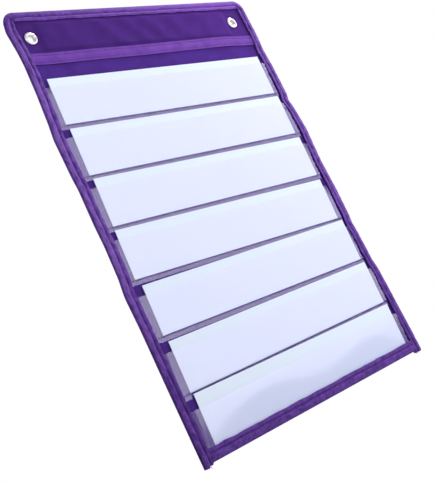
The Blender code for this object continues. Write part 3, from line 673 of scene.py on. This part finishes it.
def tapePiece(name, stations, seed):
    pairs = tapeSection()
    shape = bmesh.new()
    weave = shape.loops.layers.uv.new("weave")
    paintedShadingAndStreaks, paintedSheen = [shape.verts.layers.float.new(label) for label in ("paintedShadingAndStreaks", "paintedSheen")]
    rings = []
    for at in stations:
        ring = []
        for face, walk in ((0, pairs), (1, reversed(pairs))):
            for pair in walk:
                place, pale, paintedSheenShare = tapePoint(at, pair, face, seed)
                vertex = shape.verts.new(place)
                vertex[paintedShadingAndStreaks], vertex[paintedSheen] = pale, paintedSheenShare
                ring.append(vertex)
        rings.append(ring)
    widths = [0.0]
    for first, second in zip(pairs, pairs[1:]):
        widths.append(widths[-1] + math.dist(first[0], second[0]))
    widths += widths[::-1]
    count, half = len(widths), len(pairs)
    for a in range(len(rings) - 1):
        for k in range(count):
            n = (k + 1) % count
            corners = ((a, k), (a, n), (a + 1, n), (a + 1, k))
            face = shape.faces.new([rings[row][column] for row, column in corners])
            for loop, (row, column) in zip(face.loops, corners):
                loop[weave].uv = (stations[row].length * mm, widths[column] * mm)
    for ring in (rings[0], rings[-1]):
        for k in range(half - 1):
            shape.faces.new((ring[k], ring[k + 1], ring[count - 2 - k], ring[count - 1 - k]))
    bmesh.ops.recalc_face_normals(shape, faces=shape.faces)
    return settle(newPiece(name, shape), sharpAngle=55)


def edgeStations():
    # up the left side, round both top corners and down the right side
    half, radius, cell = panel["halfWidth"], panel["cornerRadius"], tape["cell"]
    leftEnd, rightEnd = panel["height"] + tape["leftTab"], panel["height"] + tape["rightTab"]
    turns = [(math.cos(angle), math.sin(angle), math.sin(2 * angle))
             for angle in steps(0, math.pi / 2, tape["cornerStep"])[1:]]
    plan = [(-half, drop, 1, 0, 0) for drop in steps(leftEnd, radius, cell)]
    for cosine, sine, corner in turns:
        plan.append((-half + radius - radius * cosine, radius - radius * sine, cosine, sine, corner))
    plan += [(x, 0, 0, 1, 0) for x in steps(-half + radius, half - radius, cell)[1:]]
    for cosine, sine, corner in turns:
        plan.append((half - radius + radius * sine, radius - radius * cosine, -sine, cosine, corner))
    plan += [(half, drop, -1, 0, 0) for drop in steps(radius, rightEnd, cell)[1:]]
    lengths = [0.0]
    for first, second in zip(plan, plan[1:]):
        lengths.append(lengths[-1] + math.dist(first[:2], second[:2]))
    stations = []
    for (x, drop, inX, inDrop, corner), length in zip(plan, lengths):
        fromEnd = min(length, lengths[-1] - length)
        pinch = tape["pinch"] * ease(1 - fromEnd / tape["pinchReach"])
        stations.append(Station(x, drop, inX, inDrop, length, pinch, corner))
    return stations


def bottomStations():
    reach = tape["bottomReach"]
    return [Station(x, panel["height"], 0, -1, reach - x, 0, 0) for x in steps(reach, -reach, tape["cell"])]


edgeTape = tapePiece("edgeTape", edgeStations(), tape["edgeSeed"])
dress(edgeTape, "tape", stands=["edge_binding"])
bottomTape = tapePiece("bottomTape", bottomStations(), tape["bottomSeed"])
dress(bottomTape, "tape", stands=["bottom_binding"])
print("binding made")

# Clear pockets
film = {
    "thickness": 0.3, "rest": 1.75, "overCard": 0.7, "lean": 0.0353, "foldStart": 0.3, "seat": 1.3,
    "reach": 160.3, "sideCell": 1.1, "cardCell": 4.2, "rowCell": 1.9,
    "seamRows": [-panel["hem"], -2, -0.6, 0, 0.3, 0.55, 0.8, 1.05, 1.3],
    # past the card's side it falls part of the way over a run, and the rest by the end
    "sideClearance": 0.8, "sideHold": 0.55, "sideRun": 6, "sideEnd": 10.5,
    # it gapes a little towards its mouth, unevenly
    "gape": 0.22, "gapeShare": 0.7, "gapeFrom": 8, "gapeLength": 48, "gapeLane": 3.1,
    "cardShift": [-0.48, 0, 0.32, -1.92, 0.96, 2.24, 3.2],
    # the last film is pushed out over two soft humps, by x and height above its seam
    "humps": [(-160, 26), (-151, 22), (-146, 3), (-132, 12), (-112, 21), (-85, 28), (-57, 31), (-30, 28),
              (-5, 20), (20, 15.5), (40, 20), (60, 26.5), (83, 30.5), (105, 28), (125, 18), (138, 9),
              (146, 3)],
    "humpBlend": 6, "humpSlope": 0.05, "humpSoft": 4.2, "stripHump": 27, "stripRun": 2.5,
}


def humpBulge(x, height, past):
    # it leans out steadily up to the humps' outline, then levels off softly
    strip = film["stripHump"] * ease(past / film["stripRun"]) if x < 0 else 0
    outline = max(softly(film["humps"], x, film["humpBlend"]), strip)
    soft, steepest = film["humpSoft"], 40
    above = soft * math.log(1 + math.exp(min((height - outline) / soft, steepest)))
    return film["humpSlope"] * max(height - above, 0)


def filmMiddle(index, x, height):
    past = abs(x - film["cardShift"][index]) - panel["cardHalfWidth"] - film["sideClearance"]
    held = ease((film["sideEnd"] - past) / (film["sideEnd"] - film["sideRun"]))
    cover = held * (1 - (1 - film["sideHold"]) * min(max(past / film["sideRun"], 0), 1))
    folded = ease((height - film["foldStart"]) / (film["seat"] - film["foldStart"]))
    leaning = max(height - film["seat"], 0) * film["lean"]
    top = ease((height - film["gapeFrom"]) / (panel["filmHeights"][index] - film["gapeFrom"]))
    uneasy = 1 + ripple(x, film["gapeLength"], index * film["gapeLane"])
    loose = film["gape"] * top * uneasy * film["gapeShare"]
    last = index == len(panel["seams"]) - 1
    bulge = humpBulge(x, height, past) if last and height > 0 else 0
    return film["rest"] + cover * (film["overCard"] * folded + leaning + loose) + held * bulge


def makePocket(index, seam, filmHeight):
    side, shift = panel["cardHalfWidth"] + film["sideClearance"], film["cardShift"][index]
    across = steps(-film["reach"], shift - side, film["sideCell"])
    across += steps(shift - side, shift + side, film["cardCell"])[1:]
    across += steps(shift + side, film["reach"], film["sideCell"])[1:]
    heights = film["seamRows"] + steps(film["seat"], filmHeight, film["rowCell"])[1:]
    pocket = clothGrid(
        f"pocketFilm{index + 1}", across, [-height for height in reversed(heights)],
        lambda x, down: sewn(x, filmMiddle(index, x, -down), seam + down),
        lambda x, down: (x, -down), film["thickness"])
    dress(settle(pocket), "vinyl", stands=[f"pocket_film_{index + 1}"])
    return pocket


for index, (seam, filmHeight) in enumerate(zip(panel["seams"], panel["filmHeights"])):
    pocket = makePocket(index, seam, filmHeight)
print("pockets made")

# Eyelets and their washers
eyeletShape = {
    "bore": 3.5, "barrel": 4.0, "flange": 6.9, "cloth": 2.05, "crownFoot": 2.3, "crownRise": 1.2,
    "rollFoot": -0.3, "rollReach": 5.4, "rollRise": 0.6, "crownSteps": 16, "rollSteps": 12, "turns": 72,
    "washer": 7, "washerFront": 0.55, "washerBack": 0.0, "washerBore": 4.4,
}


def halfRound(outer, inner, foot, rise, count):
    middle, half = (inner + outer) / 2, (outer - inner) / 2
    angles = [math.pi * step / count for step in range(count + 1)]
    return [(middle + half * math.cos(a), foot + rise * math.sin(a)) for a in angles]


def makeEyelet(side, centre):
    s = eyeletShape
    crown = halfRound(s["flange"], s["bore"], s["crownFoot"], s["crownRise"], s["crownSteps"])
    roll = halfRound(s["bore"], s["rollReach"], s["rollFoot"], -s["rollRise"], s["rollSteps"])
    profile = [(s["flange"] - 0.25, s["cloth"])] + crown + roll
    profile += [(s["rollReach"] - 0.2, s["rollFoot"] + 0.1), (s["barrel"], s["rollFoot"] + 0.15),
                (s["barrel"], s["cloth"])]
    eyelet = turned(f"eyelet{side}", profile, centre, s["turns"])
    dress(eyelet, "nickel", stands=[f"eyelet_{side.lower()}"])
    back, front, radius, bore = s["washerBack"], s["washerFront"], s["washer"], s["washerBore"]
    ring = [(radius, front - 0.1), (radius, back + 0.15), (radius - 0.15, back), (bore + 0.05, back),
            (bore, back + 0.05), (bore, front - 0.05), (bore + 0.1, front), (radius - 0.1, front)]
    washer = turned(f"eyeletWasher{side}", ring, centre, s["turns"])
    dress(washer, "nickel", stands=[f"eyelet_washer_{side.lower()}"])


for side, centre in zip(("Left", "Right"), eyeletCentres):
    makeEyelet(side, centre)
print("eyelets made")

# Rows of lockstitch
stitch = {"pitch": 3.0, "length": 2.5, "thread": 0.5, "wander": 0.12, "seed": 7, "rowCell": 4}


def stitchTree():
    # thread segments along a row: resampled points, a slim pill on each, jostled a little
    tree = bpy.data.node_groups.new("lockstitchRow", "GeometryNodeTree")
    for label, kind in (
            ("Rows", "Geometry"), ("Pitch", "Float"), ("Stitch length", "Float"), ("Thread width", "Float"),
            ("Wander", "Float"), ("Seed", "Int"), ("Thread", "Material")):
        tree.interface.new_socket(label, in_out="INPUT", socket_type=f"NodeSocket{kind}")
    tree.interface.new_socket("Stitches", in_out="OUTPUT", socket_type="NodeSocketGeometry")
    given = addNode(tree, "NodeGroupInput").outputs
    width, length, wander = given["Thread width"], given["Stitch length"], given["Wander"]
    points = addNode(tree, "GeometryNodeCurveToPoints", {"mode": "LENGTH"}, Curve=given["Rows"],
                     Length=given["Pitch"])
    pill = addNode(tree, "GeometryNodeMeshUVSphere", Segments=6, Rings=5, Radius=0.5)
    slim = addNode(tree, "ShaderNodeCombineXYZ", X=width, Y=width, Z=length)
    shaped = addNode(tree, "GeometryNodeTransform", Geometry=pill.outputs["Mesh"], Scale=slim.outputs[0])
    back = figured(tree, "MULTIPLY", wander, -1.0)
    low = addNode(tree, "ShaderNodeCombineXYZ", X=back, Y=back, Z=back)
    high = addNode(tree, "ShaderNodeCombineXYZ", X=wander, Y=wander, Z=wander)
    jostle = addNode(tree, "FunctionNodeRandomValue", {"data_type": "FLOAT_VECTOR"}, i0=low.outputs[0],
                     i1=high.outputs[0], Seed=given["Seed"])
    moved = addNode(tree, "GeometryNodeSetPosition", Geometry=points.outputs["Points"],
                    Offset=jostle.outputs[0])
    placed = addNode(tree, "GeometryNodeInstanceOnPoints", Points=moved.outputs[0],
                     Instance=shaped.outputs[0], Rotation=points.outputs["Rotation"])
    real = addNode(tree, "GeometryNodeRealizeInstances", Geometry=placed.outputs[0])
    smooth = addNode(tree, "GeometryNodeSetShadeSmooth", Geometry=real.outputs[0])
    painted = addNode(tree, "GeometryNodeSetMaterial", Geometry=smooth.outputs[0], Material=given["Thread"])
    addNode(tree, "NodeGroupOutput", Stitches=painted.outputs[0])
    return tree


lockstitch = stitchTree()


def stitchedRows(name, rows, stands):
    # rows: lists of places in metres, one for each sewn line
    curve = bpy.data.curves.new(name + "Path", "CURVE")
    curve.dimensions = "3D"
    for row in rows:
        spline = curve.splines.new("POLY")
        spline.points.add(len(row) - 1)
        for point, place in zip(spline.points, row):
            point.co = (*place, 1)
    path = bpy.data.objects.new(name + "Path", curve)
    workshop.objects.link(path)
    modifier = path.modifiers.new("stitches", "NODES")
    modifier.node_group = lockstitch
    chosen = {"Pitch": stitch["pitch"] * mm, "Stitch length": stitch["length"] * mm,
              "Thread width": stitch["thread"] * mm, "Wander": stitch["wander"] * mm, "Seed": stitch["seed"],
              "Thread": finishes["thread"]}
    for item in lockstitch.interface.items_tree:
        if item.in_out == "INPUT" and item.name in chosen:
            modifier[item.identifier] = chosen[item.name]
    bpy.context.view_layer.update()
    made = bpy.data.meshes.new_from_object(path.evaluated_get(bpy.context.evaluated_depsgraph_get()))
    bpy.data.objects.remove(path)
    made.name = name
    piece = bpy.data.objects.new(name, made)
    workshop.objects.link(piece)
    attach(piece, "organizer")
    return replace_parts(piece, *stands)


# How far forward each kind of row lies
rowDepth = {
    "groove": tape["front"] - tape["groove"] + 0.1, "tapeBack": -0.06, "clothBack": 0.74,
    "ribbon": ribbon["depth"] + 0.24, "film": film["rest"] + 0.2,
}


def tapeRows(stations, seed):
    # the row that follows the groove in front, and the level row behind
    rows = []
    for kind, share in (("groove", 1), ("tapeBack", 0)):
        row = []
        for at in stations:
            reach = panel["stitchInset"] + share * grooveShift(at.length, seed)
            row.append(sewn(at.x + at.inX * reach, rowDepth[kind], at.drop + at.inDrop * reach))
        rows.append(row)
    return rows


def levelRows(kind, dropAt):
    # a row across the panel in front, and one behind the cloth
    across = steps(-tape["bottomReach"], tape["bottomReach"], stitch["rowCell"])
    return [[sewn(x, rowDepth[face], dropAt(x)) for x in across] for face in (kind, "clothBack")]


stitchedRows("edgeStitches", tapeRows(edgeStations(), tape["edgeSeed"]), ["edge_binding_thread"])
stitchedRows("bottomStitches", tapeRows(bottomStations(), tape["bottomSeed"]), ["bottom_binding_thread"])
ribbonRows = []
for across in (ribbon["stitchInset"], ribbon["height"] - ribbon["stitchInset"]):
    ribbonRows += levelRows("ribbon", lambda x: ribbonDrop(x, across))
stitchedRows("ribbonStitches", ribbonRows, ["ribbon_thread_upper", "ribbon_thread_lower"])
seamRows = []
for seam in panel["seams"][:-1]:
    seamRows += levelRows("film", lambda x: seam)
stitchedRows("pocketStitches", seamRows, [f"pocket_thread_{number}" for number in range(1, 7)])
print("stitches made")

# Cards and magnet keep their own shape
for number in range(1, 8):
    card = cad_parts[f"card_{number}"]
    card.material_slots[0].material = finishes["card"]
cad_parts["magnet_strip"].material_slots[0].material = finishes["magnet"]

# Camera, light and floor
shot = {
    "place": (-0.60595, -0.61147, -0.37785), "turn": (102.7386, 25.179, -38.1249), "lens": 64.31,
    "shift": (0.0145, -0.0747),
}
camera = bpy.data.objects.new("camera", bpy.data.cameras.new("camera"))
scene.collection.objects.link(camera)
camera.location = shot["place"]
camera.rotation_euler = [math.radians(a) for a in shot["turn"]]
camera.data.lens = shot["lens"]
camera.data.shift_x, camera.data.shift_y = shot["shift"]
camera.data.clip_start = 0.01
scene.camera = camera

studio = {
    "softbox": {"place": (0.8, -0.95, -0.06), "aim": (0.8, 0.0, -0.06), "size": (1.4, 0.98), "power": 8.4},
    "sidebox": {"place": (1.95, -0.95, 0.1), "aim": (1.95, 0.0, 0.1), "size": (0.9, 1.2), "power": 10.0},
    "top": {"place": (0.7, -0.2, 0.75), "aim": (0.05, 0.0, -0.05), "size": (0.35, 0.35), "power": 7.6},
    "edge": {"place": (0.42, -0.055, 0.06), "aim": (0.1, 0.0, 0.0), "size": (0.12, 0.2), "power": 0.35},
    "fill": {"place": (-0.45, -0.35, 0.05), "aim": (-0.12, 0.0, -0.1), "size": (0.25, 0.25), "power": 0.72},
}
pinkLamps, pinkLight, whiteLight = ("top", "edge"), (1.0, 0.93, 0.98), (1.0, 1.0, 1.0)
for name, setup in studio.items():
    lamp = bpy.data.lights.new(name, "AREA")
    lamp.shape = "RECTANGLE"
    lamp.size, lamp.size_y = setup["size"]
    lamp.energy = setup["power"]
    lamp.color = pinkLight if name in pinkLamps else whiteLight
    holder = bpy.data.objects.new(name, lamp)
    scene.collection.objects.link(holder)
    holder.visible_camera = False
    holder.location = setup["place"]
    aim = Vector(setup["aim"]) - Vector(setup["place"])
    holder.rotation_euler = aim.to_track_quat("-Z", "Y").to_euler()

room = {"ambient": 0.39, "ambientColour": "#fbfbff", "floorDrop": -0.78, "floorRadius": 6,
        "floorColour": "#eeeeec", "floorLift": 0.7}
white = (1, 1, 1, 1)
world = bpy.data.worlds.new("studio")
scene.world = world
world.use_nodes = True
world.node_tree.nodes.clear()
rays = addNode(world.node_tree, "ShaderNodeLightPath").outputs
seen = figured(world.node_tree, "MAXIMUM", rays["Is Camera Ray"], rays["Is Glossy Ray"])
seen = figured(world.node_tree, "MAXIMUM", seen, rays["Is Transmission Ray"])
light = addNode(world.node_tree, "ShaderNodeBackground", Color=colour(room["ambientColour"]),
                Strength=room["ambient"])
paper = addNode(world.node_tree, "ShaderNodeBackground", Color=white, Strength=1.0)
skyMix = addNode(world.node_tree, "ShaderNodeMixShader", i0=seen, i1=light.outputs[0], i2=paper.outputs[0])
addNode(world.node_tree, "ShaderNodeOutputWorld", Surface=skyMix.outputs[0])

# The floor is matt white paper; a little of its white is given only to the eye, so that it meets
# the background without an edge and still keeps the shadow.
floorShape = bmesh.new()
bmesh.ops.create_circle(floorShape, cap_ends=True, radius=room["floorRadius"], segments=64)
floor = newPiece("floor", floorShape)
floor.location.z = room["floorDrop"]
floorMaterial, floorTree, floorOut = newMaterial("mattWhitePaper")
floorRays = addNode(floorTree, "ShaderNodeLightPath").outputs
floorSeen = figured(floorTree, "MAXIMUM", floorRays["Is Camera Ray"], floorRays["Is Glossy Ray"])
glow = addNode(floorTree, "ShaderNodeEmission", Color=white,
               Strength=figured(floorTree, "MULTIPLY", floorSeen, room["floorLift"]))
matt = addNode(floorTree, "ShaderNodeBsdfDiffuse", Color=colour(room["floorColour"]))
paperMix = addNode(floorTree, "ShaderNodeAddShader", i0=glow.outputs[0], i1=matt.outputs[0])
shadeWith(floorTree, floorOut, paperMix)
floor.data.materials.append(floorMaterial)
scene.view_settings.view_transform = "Standard"
print("studio made")
